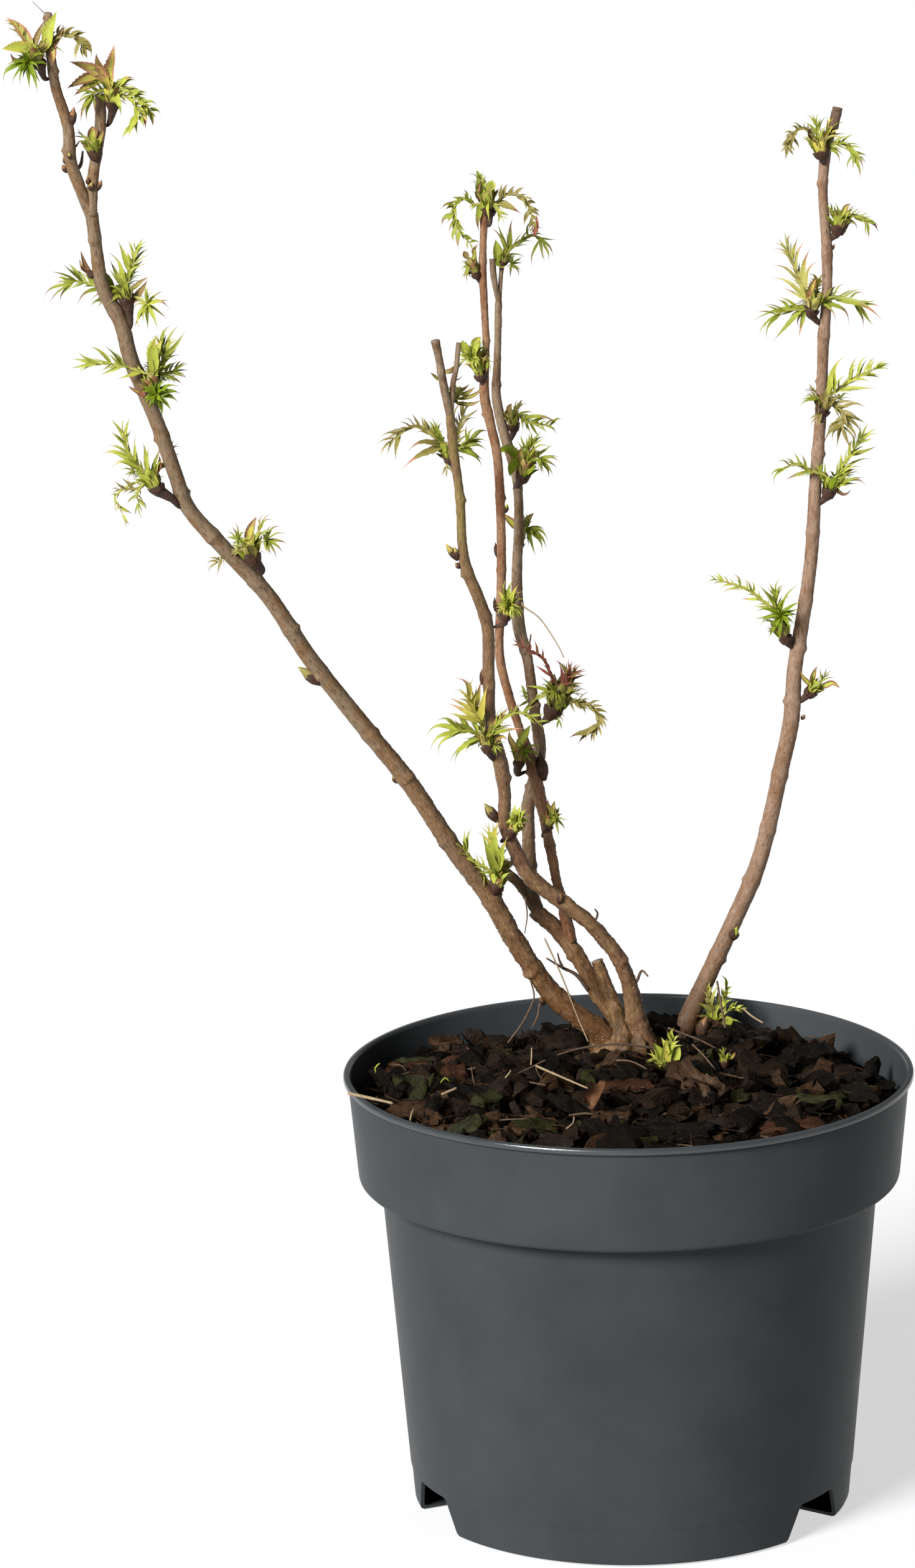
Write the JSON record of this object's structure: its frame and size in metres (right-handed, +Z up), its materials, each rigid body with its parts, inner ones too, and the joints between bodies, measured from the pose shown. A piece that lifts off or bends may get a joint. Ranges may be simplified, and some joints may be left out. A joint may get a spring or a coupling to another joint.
{
  "type": "potted false spirea shrub",
  "caption": "Young multi-stemmed deciduous shrub at bud break, bare brown stems with tufts of new leaves, in a round nursery pot topped with bark mulch.",
  "frame": {"origin": "on the pot's axis, level with the flat underside that the pot stands on", "axes": "+Z up along the pot's axis; the shrub's front is seen from -Y, with +X to the right"},
  "size_m": [0.352, 0.2319, 0.6106],
  "materials": {
    "pot_plastic": "dark grey moulded plastic with a soft sheen",
    "bark_mulch": "damp, near-black chipped bark",
    "bark_brown": "smooth young bark with pale pores",
    "bark_grey": "greyish young bark",
    "bark_red": "reddish young bark",
    "young_leaf": "soft, pleated young leaf"
  },
  "bodies": {
    "root": {"leaves_front_1": "young_leaf", "leaves_front_2": "young_leaf", "leaves_front_3": "young_leaf", "leaves_front_4": "young_leaf", "leaves_front_5": "young_leaf", "leaves_grey_1": "young_leaf", "leaves_grey_2": "young_leaf", "leaves_grey_3": "young_leaf", "leaves_grey_4": "young_leaf", "leaves_grey_5": "young_leaf", "leaves_left_1": "young_leaf", "leaves_left_2": "young_leaf", "leaves_left_3": "young_leaf", "leaves_left_4": "young_leaf", "leaves_left_5": "young_leaf", "leaves_left_6": "young_leaf", "leaves_left_7": "young_leaf", "leaves_left_8": "young_leaf", "leaves_red_1": "young_leaf", "leaves_red_2": "young_leaf", "leaves_red_3": "young_leaf", "leaves_red_4": "young_leaf", "leaves_red_5": "young_leaf", "leaves_right_1": "young_leaf", "leaves_right_2": "young_leaf", "leaves_right_3": "young_leaf", "leaves_right_4": "young_leaf", "leaves_right_5": "young_leaf", "leaves_right_6": "young_leaf", "leaves_right_7": "young_leaf", "pot": "pot_plastic", "potting_mix": "bark_mulch", "root_crown": "bark_brown", "shoots_1": "young_leaf", "shoots_2": "young_leaf", "shoots_3": "young_leaf", "stem_back": "bark_brown", "stem_front": "bark_brown", "stem_front_tip_1": "bark_brown", "stem_front_tip_2": "bark_brown", "stem_grey": "bark_grey", "stem_grey_tip_1": "bark_grey", "stem_grey_tip_2": "bark_grey", "stem_left": "bark_brown", "stem_left_tip_1": "bark_brown", "stem_left_tip_2": "bark_brown", "stem_red": "bark_red", "stem_right": "bark_brown", "stub_broken": "bark_brown", "stub_dead": "bark_grey"}
  },
  "joints": []
}
